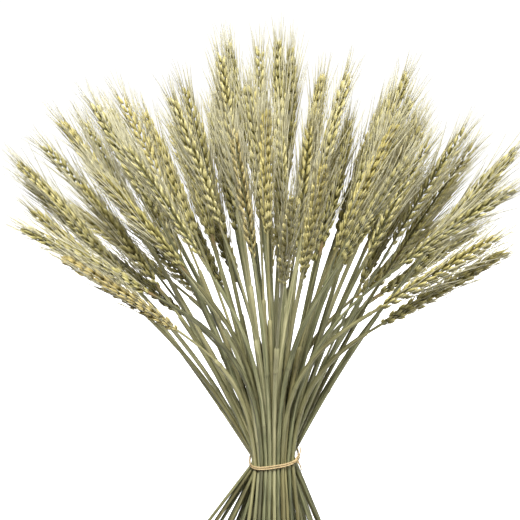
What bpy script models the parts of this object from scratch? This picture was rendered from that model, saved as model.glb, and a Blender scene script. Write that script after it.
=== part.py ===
"""A tied bunch of dried bearded wheat that stands unheld on its level-cut stems.

Each stalk is one grown piece: a stem, then an ear with spikelets in two ranks that end in awns.
The stalks stand in rows under the tie and lean apart above and below it, front rows towards -Y.
The front and back rows rise upright for a way, and the rows between them fan out at once.
Two neighbours share a node, joined where the tie presses them together.
"""

import math
import random

import bmesh
import bpy
import numpy as np
from mathutils import Vector

MM = 0.001

# Rows of stalks at the tie
SEED = 322
TIE_HEIGHT = 85 * MM
TIE_RISE = (0.15, 0.28)  # how far the waist climbs to the right and to the back
STALK_PITCH = 3.3 * MM
ROWS_EACH_SIDE = 4
HALF_WIDTH = 5.05 * STALK_PITCH
HALF_DEPTH = 4.4 * STALK_PITCH
SQUARENESS = 2.6  # power of the waist's outline: 2 is an ellipse, more is boxier
TWIST = math.radians(4)  # the right side leans forwards above the tie and backwards below it

# How the stalks lean, in radians
KINK = 4.5 * MM  # length over which a stalk bends away from the tie
LEAVE_X = (math.radians(33), math.radians(30))  # at the left edge and at the right one
LEAVE_Y = math.radians(17)
REACH_X = (math.radians(47), math.radians(42))
REACH_Y = math.radians(24)
REACH_LIMIT = (math.radians(60), math.radians(56))  # widest lean of an ear's foot, left and right
FOOT_X = (math.radians(37), math.radians(26))
FOOT_Y = math.radians(21)
FOOT_STRAY = (math.radians(2.5), math.radians(1.5))  # how far a foot strays, sideways and in depth
UPRIGHT_DEPTH = (0.3, 0.65)  # shares of the half depth between which the rows turn upright
UPRIGHT_LEAN = 0.15  # how much of the lean at the tie an upright row keeps
UPRIGHT_REACH = 0.72  # and how much of the lean at the ears
WANDER = math.radians(3.6)
DROOP = math.radians(5)

# Lengths along a stalk, measured up from its tie point
TIP_MIDDLE = 294 * MM
OUTER_SHORTER = 46 * MM  # front and back rows
SIDE_SHORTER = (28 * MM, 34 * MM)
TIP_DRAW = 36 * MM
TIP_RANGE = (228 * MM, 325 * MM)
EAR_LENGTH = (90 * MM, 103 * MM)
STEP = 2.5 * MM

# Room that a stalk needs round its own line
STEM_ROOM = 2.6 * MM
EAR_ROOM = 8.8 * MM
AWN_ROOM = 9.9 * MM
AWNS_FROM = 0.35  # share of the ear below which its awns take no room of their own
ROOM_ROUNDS = 120
ROOM_EASE = 0.45  # share of the wanted turn that a stalk makes in one round
LEAST_GAP = 0.1 * MM
FREE_FROM = 40 * MM  # nearer the tie the rows keep the stalks apart

# One stalk's own sizes
STEM_HALF_WIDTH = 1.28 * MM
STEM_DIAGONAL = STEM_HALF_WIDTH * math.sqrt(2)
WIDTH_DRAW = (0.93, 1.0)
STEM_WIDTHS = ((0.3, 1.25), (0.66, 1.0))  # share of the way to the ear: width there, swollen by the sheath
NECK_SHARE = 0.62  # width of the stem below the ear, as a share of its width at the tie
WEB_HEIGHT = 6 * MM
TEETH = 14  # spikelets of one ear, both ranks
CROWN_STEPS = 0.6  # from the last spikelet to the crown, in spikelets
TOOTH_OUT = 7.5 * MM
TOOTH_IN = 0.52  # the notch opposite a spikelet, as a share of its reach
TOOTH_RISE = 4.2 * MM
NOTCH_DROP = TOOTH_RISE / 4
EAR_DEPTH = (0.72, 0.61)  # the ear's half depth in turn, as a share of a spikelet's reach
EAR_FOOT = 0.62  # fullness of the lowest spikelet
EAR_FILLING = 0.9  # how fast the spikelets grow to their full size
EAR_TAPER = 0.42  # how much smaller the last one is
AWN_LENGTH = 46 * MM
AWN_SPREAD = math.radians(5)
AWN_BEND = 1.6  # how far an awn follows the ear's own curve
AWN_ROOT = 0.45 * MM
TIP_AWN = 20 * MM
AWNED = {5: 0, 8: 2, 10: 1, 11: 0, 13: 3}  # spikelet number: side of the ear

# The twine, wound twice and knotted at the front right
TWINE_RADIUS = 0.75 * MM
TIE_REACH = (18.9 * MM, 14.6 * MM)  # from the waist's middle to the inside of the twine
TIE_SQUARENESS = 3
TWINE_WAIST = 0.45  # depth of the groove between the strands, as a share of the radius
STRAND_SPREAD = (0.62 * MM, 1.05 * MM)  # half the distance between the strands, sides and front
RING_STEPS = 36
KNOT_ANGLE = math.radians(-28)
KNOT_WIDTH = 0.13
KNOT_SWELL = 0.95
END_FROM = 2 * MM  # above and below the knot's middle
END_LENGTHS = (2.5 * MM, 3 * MM)
END_TAPER = 0.75
END_WAYS = ((0.25, -0.1, 0.95), (0.35, -0.1, -0.9))


def plain_material(name, colour, roughness):
    material = bpy.data.materials.new(name)
    material.use_nodes = True
    shader = material.node_tree.nodes["Principled BSDF"]
    shader.inputs["Base Color"].default_value = (*colour, 1)
    shader.inputs["Roughness"].default_value = roughness
    material.diffuse_color = (*colour, 1)
    return material


def smooth(share):
    share = np.clip(share, 0, 1)
    return share * share * (3 - 2 * share)


def row_places(row):
    """Places of one row's stalks; an odd one out is left off so that all pair up."""
    depth = row * STALK_PITCH * math.sqrt(3) / 2
    reach = HALF_WIDTH * (1 - abs(depth / HALF_DEPTH) ** SQUARENESS) ** (1 / SQUARENESS)
    most = math.ceil(HALF_WIDTH / STALK_PITCH)
    places = [(k + (row % 2) / 2) * STALK_PITCH for k in range(-most, most)]
    places = [place for place in places if abs(place) <= reach]
    if len(places) % 2:
        places.pop(0 if row > 0 else -1)
    return [(place, depth) for place in places]


def lay_out():
    """The bunch as arrays with a row for each stalk: where it is tied, how it leans and how long it is."""
    draw, stray = random.Random(SEED), random.Random(SEED + 1)
    stalks = []
    for row in range(-ROWS_EACH_SIDE, ROWS_EACH_SIDE + 1):
        for x, y in row_places(row):
            side, depth = x / HALF_WIDTH, y / HALF_DEPTH
            start, full = UPRIGHT_DEPTH
            upright = float(smooth((abs(depth) - start) / (full - start)))
            middle = 1 - (1 - UPRIGHT_LEAN) * upright
            fan = side * (1 - (1 - UPRIGHT_REACH) * upright)
            ear = draw.uniform(*EAR_LENGTH)
            hand = int(side > 0)
            tip = TIP_MIDDLE - OUTER_SHORTER * depth**2 - SIDE_SHORTER[hand] * fan**2
            tip += draw.uniform(-1, 1) * TIP_DRAW
            tip = min(max(tip, TIP_RANGE[0]), TIP_RANGE[1])
            stalks.append(
                {
                    "root": (x, y, TIE_HEIGHT + TIE_RISE[0] * x + TIE_RISE[1] * y),
                    "leave": (LEAVE_X[hand] * side * middle, LEAVE_Y * depth - TWIST * side),
                    "reach": (
                        REACH_X[hand] * fan + draw.gauss(0, WANDER),
                        REACH_Y * depth - TWIST * side + draw.gauss(0, WANDER),
                    ),
                    "foot": (
                        (FOOT_X[hand] * side + stray.uniform(-1, 1) * FOOT_STRAY[0]) * middle,
                        FOOT_Y * depth + TWIST * side + stray.uniform(-1, 1) * FOOT_STRAY[1],
                    ),
                    "droop": (
                        DROOP * fan + draw.uniform(-1, 1) * DROOP / 2,
                        draw.uniform(-1, 1) * DROOP / 2,
                    ),
                    "base": tip - ear,
                    "ear": ear,
                    "turn": draw.uniform(-1, 1) * math.pi / 2,
                    "width": draw.uniform(*WIDTH_DRAW),
                }
            )
    return {key: np.array([stalk[key] for stalk in stalks]) for key in stalks[0]}


def walk(roots, leans, upward):
    """Points STEP apart along every stalk, from its tie point, for leans shaped (stalk, step, 2)."""
    slope = np.tan(leans)
    way = np.concatenate([slope, np.full_like(slope[..., :1], upward)], axis=-1)
    way *= STEP / np.linalg.norm(way, axis=-1, keepdims=True)
    return np.concatenate([roots[:, None], roots[:, None] + np.cumsum(way, axis=1)], axis=1)


def walk_up(bunch):
    along = (np.arange((TIP_RANGE[1] + TIP_AWN + 3 * STEP) // STEP) + 0.5)[None, :, None] * STEP
    base, ear = (bunch[key][:, None, None] for key in ("base", "ear"))
    leave, reach, droop = (bunch[key][:, None] for key in ("leave", "reach", "droop"))
    leans = leave * np.clip(along / KINK, 0, 1)
    leans = leans + (reach - leave) * smooth((along - KINK) / (base - KINK))
    leans = leans + droop * np.clip((along - base) / ear, 0, 1)
    return walk(bunch["root"], leans, 1)


def walk_down(bunch):
    along = (np.arange(TIE_HEIGHT // STEP) + 0.5)[None, :, None] * STEP
    return walk(bunch["root"], bunch["foot"][:, None] * np.clip(along / KINK, 0, 1), -1)


def room_along(bunch, along):
    """Radius that each stalk keeps free at each distance from its tie point."""
    base, ear = bunch["base"][:, None], bunch["ear"][:, None]
    room = np.where(along < base, STEM_ROOM, EAR_ROOM)
    room = np.where(along > base + AWNS_FROM * ear, AWN_ROOM, room)
    return np.where(along > base + ear + TIP_AWN, 0, room)


def make_room(bunch):
    """Leans crowded stalks apart until each ear stands clear of its neighbours."""
    for _ in range(ROOM_ROUNDS):
        points = walk_up(bunch)
        along = np.arange(points.shape[1]) * STEP
        room = room_along(bunch, along)
        apart = points[:, None] - points[None, :]
        distance = np.linalg.norm(apart, axis=-1)
        needed = room[:, None] + room[None, :]
        short = np.where((room[:, None] > 0) & (room[None, :] > 0), needed - distance, 0)
        short[..., along < FREE_FROM] = 0
        short[np.arange(len(points)), np.arange(len(points))] = 0
        worst = short.argmax(axis=-1)[..., None]
        shortfall = np.clip(np.take_along_axis(short, worst, -1)[..., 0], 0, None)
        gap = np.take_along_axis(distance, worst, -1)[..., 0] + LEAST_GAP
        away = np.take_along_axis(apart, worst[..., None], 2)[:, :, 0, :2]
        turn = away * (shortfall / gap / np.maximum(along[worst[..., 0]], FREE_FROM))[..., None]
        bunch["reach"] = bunch["reach"] + ROOM_EASE * turn.sum(axis=1)
        bunch["reach"][:, 0] = np.clip(bunch["reach"][:, 0], -REACH_LIMIT[0], REACH_LIMIT[1])


def point_at(path, distance):
    """The point on one stalk's path this far from its tie point."""
    index = distance / STEP
    low = min(int(index), len(path) - 2)
    return Vector(path[low]).lerp(Vector(path[low + 1]), index - low)


def frame_at(path, distance, turn, upward=1):
    """A centre, the way up the stalk and four directions round it, the first at 45 degrees from +X."""
    centre = point_at(path, distance)
    way = point_at(path, distance + STEP) - point_at(path, max(distance - STEP, 0))
    way = (way * upward).normalized()
    across = (Vector((1, 0, 0)) - way * way.x).normalized()
    back = way.cross(across)
    angles = [math.radians(45 + 90 * side) + turn for side in range(4)]
    return centre, way, [across * math.cos(a) + back * math.sin(a) for a in angles]


def corner(bm, place, way, along_ring, awned):
    """One corner of a ring as its low, next and previous vertices, apart only round an awn's root."""
    if not awned:
        vertex = bm.verts.new(place)
        return vertex, vertex, vertex
    return (
        bm.verts.new(place - way * AWN_ROOT),
        bm.verts.new(place + (way * 0.5 + along_ring * 0.87) * AWN_ROOT),
        bm.verts.new(place + (way * 0.5 - along_ring * 0.87) * AWN_ROOT),
    )


def ring(bm, frame, radii, rises=(0, 0, 0, 0), awned=None):
    centre, way, sides = frame
    corners = []
    for side, (outward, radius, rise) in enumerate(zip(sides, radii, rises)):
        place = centre + outward * radius + way * rise
        corners.append(corner(bm, place, way, way.cross(outward), side == awned))
    return corners


def add_face(bm, vertices, slot):
    vertices = list(dict.fromkeys(vertices))
    if len(vertices) > 2:
        bm.faces.new(vertices).material_index = slot


def add_quad(bm, a, b, c, d, slot):
    """A four-sided face split along its shorter diagonal."""
    if (a.co - c.co).length < (b.co - d.co).length:
        triangles = ((a, b, c), (a, c, d))
    else:
        triangles = ((a, b, d), (b, c, d))
    for triangle in triangles:
        add_face(bm, triangle, slot)


def join_rings(bm, lower, upper, slot, open_side=None):
    for side in range(4):
        after = (side + 1) % 4
        if side != open_side:
            quad = (lower[side][1], lower[after][2], upper[after][0], upper[side][0])
            add_quad(bm, *quad, slot)


def grow_awn(bm, lower, upper, side, tip, slot):
    """Closes the three-cornered hole at an awned corner and pulls it out to a needle."""
    low, following, previous = lower[side]
    add_face(bm, (low, lower[(side + 1) % 4][2], following), slot)
    add_face(bm, (lower[(side - 1) % 4][1], low, previous), slot)
    add_face(bm, (previous, following, upper[side][0]), slot)
    end = bm.verts.new(tip)
    for pair in ((low, following), (following, previous), (previous, low)):
        add_face(bm, (*pair, end), slot)


def stem_rings(bm, up, down, stalk):
    """Rings of the stem from its cut foot to just below the ear."""
    half = STEM_DIAGONAL * stalk["width"]
    bend = frame_at(down, KINK, 0, -1)
    foot = ring(bm, bend, [half] * 4)
    for corners in foot:
        corners[0].co -= bend[1] * (corners[0].co.z / bend[1].z)
    rings = [foot, ring(bm, bend, [half] * 4)]
    rings.append(ring(bm, frame_at(down, WEB_HEIGHT / 2, 0, -1), [half] * 4))
    rings.append(ring(bm, frame_at(up, WEB_HEIGHT / 2, 0), [half] * 4))
    rings.append(ring(bm, frame_at(up, KINK, 0), [half] * 4))
    for share, swell in STEM_WIDTHS:
        frame = frame_at(up, share * stalk["base"], share * stalk["turn"])
        rings.append(ring(bm, frame, [half * swell] * 4))
    rings.append(ring(bm, frame_at(up, stalk["base"], stalk["turn"]), [half * NECK_SHARE] * 4))
    return rings


def grow_ear(bm, up, stalk, neck):
    """Carries the stem's last ring up through the spikelets to the awn at the tip."""
    lower = neck
    awns = []
    for tooth in range(1, TEETH + 1):
        share = tooth / (TEETH + CROWN_STEPS)
        fullness = min(1, EAR_FOOT + EAR_FILLING * share) * (1 - EAR_TAPER * share**3)
        reach = TOOTH_OUT * fullness
        frame = frame_at(up, stalk["base"] + share * stalk["ear"], stalk["turn"])
        outer = 0 if tooth % 2 else 2
        radii = [reach * EAR_DEPTH[tooth // 2 % 2]] * 4
        rises = [0] * 4
        radii[outer], radii[2 - outer] = reach, reach * TOOTH_IN
        rises[outer], rises[2 - outer] = TOOTH_RISE, -NOTCH_DROP
        side = AWNED.get(tooth)
        upper = ring(bm, frame, radii, rises, side)
        join_rings(bm, lower, upper, 1)
        awns.append((lower, upper, frame))
        lower = upper
    crown = ring(bm, frame_at(up, stalk["base"] + stalk["ear"], stalk["turn"]), [AWN_ROOT] * 4)
    join_rings(bm, lower, crown, 1)
    tip = [(bm.verts.new(point_at(up, stalk["base"] + stalk["ear"] + TIP_AWN)),) * 3] * 4
    join_rings(bm, crown, tip, 1)
    above = [upper for _, upper, _ in awns[1:]] + [crown]
    for tooth, ((_, upper, frame), over) in enumerate(zip(awns, above), 1):
        if tooth in AWNED:
            side = AWNED[tooth]
            lean = frame[1] * math.cos(AWN_SPREAD) + frame[2][side] * math.sin(AWN_SPREAD)
            root = upper[side][0].co
            ahead = point_at(up, stalk["base"] + tooth / TEETH * stalk["ear"] + AWN_LENGTH / 2)
            bend = (ahead - frame[0] - frame[1] * (ahead - frame[0]).length) * AWN_BEND
            grow_awn(bm, upper, over, side, root + lean * AWN_LENGTH + bend, 1)


def grow_stalk(bm, up, down, stalk, open_side):
    """One stalk, left open towards its partner between the two rings it returns."""
    rings = stem_rings(bm, up, down, stalk)
    add_face(bm, [rings[0][side][0] for side in (3, 2, 1, 0)], 0)
    for index, (lower, upper) in enumerate(zip(rings, rings[1:])):
        join_rings(bm, lower, upper, 0, open_side if index == 2 else None)
    grow_ear(bm, up, stalk, rings[-1])
    return rings[2], rings[3]


def press_together(bm, left, right):
    """Bridges the facing sides that two neighbours leave open under the tie."""
    lower_left, upper_left = left
    lower_right, upper_right = right
    loops = [
        (lower_left[3], lower_right[2]),
        (lower_left[0], lower_right[1]),
        (upper_left[0], upper_right[1]),
        (upper_left[3], upper_right[2]),
    ]
    for (a, b), (c, d) in zip(loops, loops[1:] + loops[:1]):
        add_quad(bm, a[0], c[0], d[0], b[0], 0)


def add_object(name, bm, materials):
    bmesh.ops.recalc_face_normals(bm, faces=bm.faces)
    mesh = bpy.data.meshes.new(name)
    bm.to_mesh(mesh)
    bm.free()
    for material in materials:
        mesh.materials.append(material)
    made = bpy.data.objects.new(name, mesh)
    bpy.context.scene.collection.objects.link(made)
    return made


def make_stalks():
    stem = plain_material("dried straw", (0.24, 0.22, 0.11), 0.55)
    husk = plain_material("dried wheat husk", (0.40, 0.35, 0.18), 0.6)
    bunch = lay_out()
    make_room(bunch)
    up, down = walk_up(bunch), walk_down(bunch)
    for first in range(0, len(up), 2):
        bm = bmesh.new()
        webs = []
        for index, open_side in ((first, 3), (first + 1, 1)):
            stalk = {key: values[index] for key, values in bunch.items()}
            webs.append(grow_stalk(bm, up[index], down[index], stalk, open_side))
        press_together(bm, *webs)
        add_object(f"stalks_{first // 2 + 1:02d}", bm, (stem, husk))


def twine_profile(angle):
    """The twine's radius, swollen at the knot, and the outline across both strands as (outward, up)."""
    knot = math.exp(-(((angle - KNOT_ANGLE + math.pi) % math.tau - math.pi) / KNOT_WIDTH) ** 2)
    radius = TWINE_RADIUS * (1 + KNOT_SWELL * knot)
    front = max(0, -math.sin(angle)) ** 2 * (1 - knot)
    spread = STRAND_SPREAD[0] + (STRAND_SPREAD[1] - STRAND_SPREAD[0]) * front
    waist = TWINE_WAIST * radius
    return radius, [
        (0, -spread - radius),
        (radius, -spread),
        (waist, 0),
        (radius, spread),
        (0, spread + radius),
        (-radius, spread),
        (-waist, 0),
        (-radius, -spread),
    ]


def add_end(bm, target, way):
    """Draws the ring's face nearest a point out into a short loose end."""
    bm.faces.ensure_lookup_table()
    face = min(bm.faces, key=lambda f: (f.calc_center_median() - target).length)
    for length in END_LENGTHS:
        face = bmesh.ops.extrude_discrete_faces(bm, faces=[face])["faces"][0]
        centre = face.calc_center_median()
        for vertex in face.verts:
            vertex.co = centre + (vertex.co - centre) * END_TAPER + way * length


def tie_place(angle, outward, up):
    """A point on the inside of the twine at this angle, moved outward and up."""
    across = abs(math.cos(angle) / TIE_REACH[0]) ** TIE_SQUARENESS
    across += abs(math.sin(angle) / TIE_REACH[1]) ** TIE_SQUARENESS
    reach = across ** (-1 / TIE_SQUARENESS) + outward
    x, y = reach * math.cos(angle), reach * math.sin(angle)
    return Vector((x, y, TIE_HEIGHT + TIE_RISE[0] * x + TIE_RISE[1] * y + up))


def make_tie():
    bm = bmesh.new()
    loops = []
    for turn in range(RING_STEPS):
        angle = math.tau * turn / RING_STEPS
        radius, profile = twine_profile(angle)
        places = [tie_place(angle, radius + outward, up) for outward, up in profile]
        loops.append([bm.verts.new(place) for place in places])
    for loop, after in zip(loops, loops[1:] + loops[:1]):
        for index in range(len(loop)):
            add_face(bm, (loop[index], loop[index - 1], after[index - 1], after[index]), 0)
    for way, up in zip(END_WAYS, (END_FROM, -END_FROM)):
        add_end(bm, tie_place(KNOT_ANGLE, TWINE_RADIUS * 2, up), Vector(way))
    add_object("tie", bm, [plain_material("raffia twine", (0.45, 0.33, 0.17), 0.7)])


def centre_bunch():
    """Shifts every mesh so that the middle of the whole bunch's box is over the origin."""
    meshes = [made.data for made in bpy.context.scene.objects]
    places = np.array([vertex.co for mesh in meshes for vertex in mesh.vertices])
    middle = (places.min(axis=0) + places.max(axis=0)) / 2
    for mesh in meshes:
        for vertex in mesh.vertices:
            vertex.co -= Vector((middle[0], middle[1], 0))


for leftover in list(bpy.data.objects):
    bpy.data.objects.remove(leftover)
make_stalks()
make_tie()
centre_bunch()
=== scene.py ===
import itertools
import math
import random
from functools import partial

import bmesh
import bpy
import numpy as np
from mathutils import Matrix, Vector


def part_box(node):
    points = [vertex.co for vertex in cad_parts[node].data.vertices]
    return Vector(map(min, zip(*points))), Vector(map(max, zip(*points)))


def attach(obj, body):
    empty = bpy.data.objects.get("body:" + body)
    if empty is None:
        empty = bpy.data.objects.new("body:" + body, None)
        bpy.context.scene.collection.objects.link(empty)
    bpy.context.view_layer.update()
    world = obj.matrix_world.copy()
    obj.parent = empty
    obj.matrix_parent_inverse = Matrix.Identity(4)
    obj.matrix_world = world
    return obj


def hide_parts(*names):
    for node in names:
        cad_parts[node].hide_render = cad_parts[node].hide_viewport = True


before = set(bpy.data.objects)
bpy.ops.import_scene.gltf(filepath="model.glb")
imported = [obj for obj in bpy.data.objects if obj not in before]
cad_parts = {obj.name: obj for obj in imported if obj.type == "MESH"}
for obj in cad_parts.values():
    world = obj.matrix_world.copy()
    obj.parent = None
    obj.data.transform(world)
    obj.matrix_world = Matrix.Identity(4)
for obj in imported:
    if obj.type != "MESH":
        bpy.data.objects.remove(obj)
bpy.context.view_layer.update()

# A tied bunch of dried bearded wheat. The frame's stalks are plain solids that carry the layout;
# each pair of them is replaced here by finely made straw, husks and awns on the same centre lines.

mm = 0.001

# How the stalks stand: the same rule, seed and order of draws as the solids were grown by. Leans are
# from the upright, and a pair of them is for the left and the right.
bunch = {
    "seed": 322,
    "tieHeight": 85 * mm,
    "tieRise": (0.15, 0.28),  # the waist climbs to the right and to the back
    "tieReach": (18.9 * mm, 14.6 * mm),  # from the waist's middle to the inside of the twine, x and y
    "tieSquareness": 3,
    "pitch": 3.3 * mm,
    "rowsEachSide": 4,
    "halfWidth": 5.05,  # of the bunch at the tie, in pitches
    "halfDepth": 4.4,
    "squareness": 2.6,
    "twist": math.radians(4),  # front stalks turn to one side and back ones to the other
    "uprightFrom": 0.3,  # share of the depth where the upright front and back rows begin
    "uprightTo": 0.65,
    "uprightLean": 0.15,
    "uprightReach": 0.72,
    "kink": 4.5 * mm,  # length over which a stem bends at the tie
    "leaveX": (math.radians(33), math.radians(30)),  # lean just above the tie
    "leaveY": math.radians(17),
    "reachX": (math.radians(47), math.radians(42)),  # lean at the ear's foot
    "reachY": math.radians(24),
    "reachLimit": (math.radians(60), math.radians(56)),
    "footX": (math.radians(37), math.radians(26)),  # lean below the tie
    "footY": math.radians(21),
    "footStray": (math.radians(2.5), math.radians(1.5)),  # x and y
    "wander": math.radians(3.6),
    "droop": math.radians(5),
    "tipMiddle": 294 * mm,  # from the tie to the tip of a middle ear
    "outerShorter": 46 * mm,
    "sideShorter": (28 * mm, 34 * mm),  # left and right
    "tipDraw": 36 * mm,
    "tipRange": (228 * mm, 325 * mm),  # from and to, as the next two
    "earLength": (90 * mm, 103 * mm),
    "earWidth": (0.93, 1.0),
    "tipAwn": 20 * mm,
    "step": 2.5 * mm,
    "stemRoom": 2.6 * mm,  # radius that each stalk keeps clear round itself
    "earRoom": 8.8 * mm,
    "awnRoom": 9.9 * mm,
    "awnsFrom": 0.35,  # share of the ear above which awns need the room
    "freeFrom": 40 * mm,
    "roomRounds": 120,
    "ease": 0.45,  # share of each shortfall mended in a round
}


def smooth(share):
    share = np.clip(share, 0, 1)
    return share * share * (3 - 2 * share)


def rowPlaces(row):
    # Where one row of stems passes the tie; the rows nest as stacked pipes do.
    depth = row * math.sqrt(3) / 2
    power = bunch["squareness"]
    reach = bunch["halfWidth"] * (1 - abs(depth / bunch["halfDepth"]) ** power) ** (1 / power)
    shift = 0.5 * (row % 2)
    most = math.ceil(bunch["halfWidth"])
    places = [k + shift for k in range(-most, most) if abs(k + shift) <= reach]
    if len(places) % 2:  # an odd one out is left off so that all pair up
        places.pop(0 if row > 0 else -1)
    return [(place * bunch["pitch"], depth * bunch["pitch"]) for place in places]


def layOut():
    draw, stray = random.Random(bunch["seed"]), random.Random(bunch["seed"] + 1)
    stalks = []
    for row in range(-bunch["rowsEachSide"], bunch["rowsEachSide"] + 1):
        for x, y in rowPlaces(row):
            side = x / (bunch["halfWidth"] * bunch["pitch"])
            depth = y / (bunch["halfDepth"] * bunch["pitch"])
            upright = (abs(depth) - bunch["uprightFrom"]) / (bunch["uprightTo"] - bunch["uprightFrom"])
            upright = float(smooth(upright))
            fan = side * (1 - (1 - bunch["uprightReach"]) * upright)
            middle = 1 - (1 - bunch["uprightLean"]) * upright
            ear = draw.uniform(*bunch["earLength"])
            hand = int(side > 0)
            tip = bunch["tipMiddle"] - bunch["outerShorter"] * depth**2
            tip -= bunch["sideShorter"][hand] * fan**2
            tip += draw.uniform(-1, 1) * bunch["tipDraw"]
            tip = min(max(tip, bunch["tipRange"][0]), bunch["tipRange"][1])
            rise = bunch["tieRise"][0] * x + bunch["tieRise"][1] * y
            twist, droop = bunch["twist"] * side, bunch["droop"]
            stalks.append(
                {
                    "root": (x, y, bunch["tieHeight"] + rise),
                    "leave": (
                        bunch["leaveX"][hand] * side * middle,
                        bunch["leaveY"] * depth - twist,
                    ),
                    "reach": (
                        bunch["reachX"][hand] * fan + draw.gauss(0, bunch["wander"]),
                        bunch["reachY"] * depth - twist + draw.gauss(0, bunch["wander"]),
                    ),
                    "foot": (
                        (bunch["footX"][hand] * side + stray.uniform(-1, 1) * bunch["footStray"][0])
                        * middle,
                        bunch["footY"] * depth + twist + stray.uniform(-1, 1) * bunch["footStray"][1],
                    ),
                    "droop": (
                        droop * fan + draw.uniform(-1, 1) * droop / 2,
                        draw.uniform(-1, 1) * droop / 2,
                    ),
                    "base": tip - ear,
                    "ear": ear,
                    "turn": draw.uniform(-1, 1) * math.pi / 2,
                    "width": draw.uniform(*bunch["earWidth"]),  # for the solids only
                }
            )
    return {key: np.array([stalk[key] for stalk in stalks]) for key in stalks[0]}


def walk(roots, leans, upward):
    # Points at even steps along every stalk, up from the tie (1) or down (-1).
    slope = np.tan(leans)
    way = np.concatenate([slope, np.full_like(slope[..., :1], upward)], axis=-1)
    way *= bunch["step"] / np.linalg.norm(way, axis=-1, keepdims=True)
    return np.concatenate([roots[:, None], roots[:, None] + np.cumsum(way, axis=1)], axis=1)


def walkUp(stalks):
    step, kink = bunch["step"], bunch["kink"]
    count = (bunch["tipRange"][1] + bunch["tipAwn"] + 3 * step) // step  # a little past the longest
    along = (np.arange(count) + 0.5)[None, :, None] * step
    base, ear = (stalks[key][:, None, None] for key in ("base", "ear"))
    leave, reach, droop = (stalks[key][:, None] for key in ("leave", "reach", "droop"))
    leans = leave * np.clip(along / kink, 0, 1)
    leans = leans + (reach - leave) * smooth((along - kink) / (base - kink))
    leans = leans + droop * np.clip((along - base) / ear, 0, 1)
    return walk(stalks["root"], leans, 1)


def walkDown(stalks):
    along = (np.arange(bunch["tieHeight"] // bunch["step"]) + 0.5)[None, :, None] * bunch["step"]
    leans = stalks["foot"][:, None] * np.clip(along / bunch["kink"], 0, 1)
    return walk(stalks["root"], leans, -1)


def makeRoom(stalks):
    # Crowded stalks lean apart until each ear stands clear of its neighbours.
    base, ear = stalks["base"][:, None], stalks["ear"][:, None]
    for _ in range(bunch["roomRounds"]):
        points = walkUp(stalks)
        along = np.arange(points.shape[1]) * bunch["step"]
        room = np.where(along < base, bunch["stemRoom"], bunch["earRoom"])
        room = np.where(along > base + bunch["awnsFrom"] * ear, bunch["awnRoom"], room)
        room = np.where(along > base + ear + bunch["tipAwn"], 0, room)
        apart = points[:, None] - points[None, :]
        distance = np.linalg.norm(apart, axis=-1)
        needed = room[:, None] + room[None, :]
        short = np.where((room[:, None] > 0) & (room[None, :] > 0), needed - distance, 0)
        short[..., along < bunch["freeFrom"]] = 0
        short[np.arange(len(points)), np.arange(len(points))] = 0
        worst = short.argmax(axis=-1)[..., None]
        shortfall = np.clip(np.take_along_axis(short, worst, -1)[..., 0], 0, None)
        gap = np.take_along_axis(distance, worst, -1)[..., 0] + mm / 10  # never nought
        away = np.take_along_axis(apart, worst[..., None], 2)[:, :, 0, :2]
        lever = np.maximum(along[worst[..., 0]], bunch["freeFrom"])
        turn = away * (shortfall / gap / lever)[..., None]
        stalks["reach"] = stalks["reach"] + bunch["ease"] * turn.sum(axis=1)
        left, right = bunch["reachLimit"]
        stalks["reach"][:, 0] = np.clip(stalks["reach"][:, 0], -left, right)


def pointAt(path, distance):
    index = distance / bunch["step"]
    low = min(int(index), len(path) - 2)
    return Vector(path[low]).lerp(Vector(path[low + 1]), index - low)


def toLinear(code):
    parts = [int(code[at : at + 2], 16) / 255 for at in (1, 3, 5)]
    return (*[c / 12.92 if c <= 0.04045 else ((c + 0.055) / 1.055) ** 2.4 for c in parts], 1)


def addNode(tree, kind, inputs=None, stops=(), curve=(), **settings):
    # Adds a node with its settings, values and links; stops are for a ramp, curve for a float curve.
    node = tree.nodes.new(kind)
    for name, value in settings.items():
        setattr(node, name, value)
    for spot, value in (inputs or {}).items():
        if isinstance(value, bpy.types.NodeSocket):
            tree.links.new(value, node.inputs[spot])
        else:
            node.inputs[spot].default_value = value
    for index, (place, colour) in enumerate(stops):
        elements = node.color_ramp.elements
        stop = elements[index] if index < 2 else elements.new(place)
        stop.position, stop.color = place, toLinear(colour)
    if curve:
        points = node.mapping.curves[0].points
        points[0].location, points[-1].location = curve[0], curve[-1]
        for place in curve[1:-1]:
            points.new(*place)
        node.mapping.update()
    return node


def newObject(name, data):
    made = bpy.data.objects.new(name, data)
    bpy.context.scene.collection.objects.link(made)
    return made


def newTree(name, kinds, output):
    # A Geometry Nodes tree with its inputs named by kind, and one geometry output.
    tree = bpy.data.node_groups.new(name, "GeometryNodeTree")
    for kind, labels in kinds.items():
        for label in labels:
            tree.interface.new_socket(label, in_out="INPUT", socket_type="NodeSocket" + kind)
    tree.interface.new_socket(output, in_out="OUTPUT", socket_type="NodeSocketGeometry")
    return tree


def settle(lines, tree, values):
    # Runs a tree on the lines and keeps what it makes as a plain mesh. Its inputs are set by their
    # sockets' identifiers, before the lines are first evaluated.
    modifier = lines.modifiers.new(tree.name, "NODES")
    modifier.node_group = tree
    for socket in tree.interface.items_tree:
        if socket.in_out == "INPUT" and socket.name in values:
            modifier[socket.identifier] = values[socket.name]
    graph = bpy.context.evaluated_depsgraph_get()
    mesh = bpy.data.meshes.new_from_object(
        lines.evaluated_get(graph), preserve_all_data_layers=True, depsgraph=graph
    )
    lines.modifiers.clear()
    lines.data = mesh
    return lines


def newMaterial(name):
    material = bpy.data.materials.new(name)
    material.use_nodes = True
    return material, material.node_tree, material.node_tree.nodes["Principled BSDF"]


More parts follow.
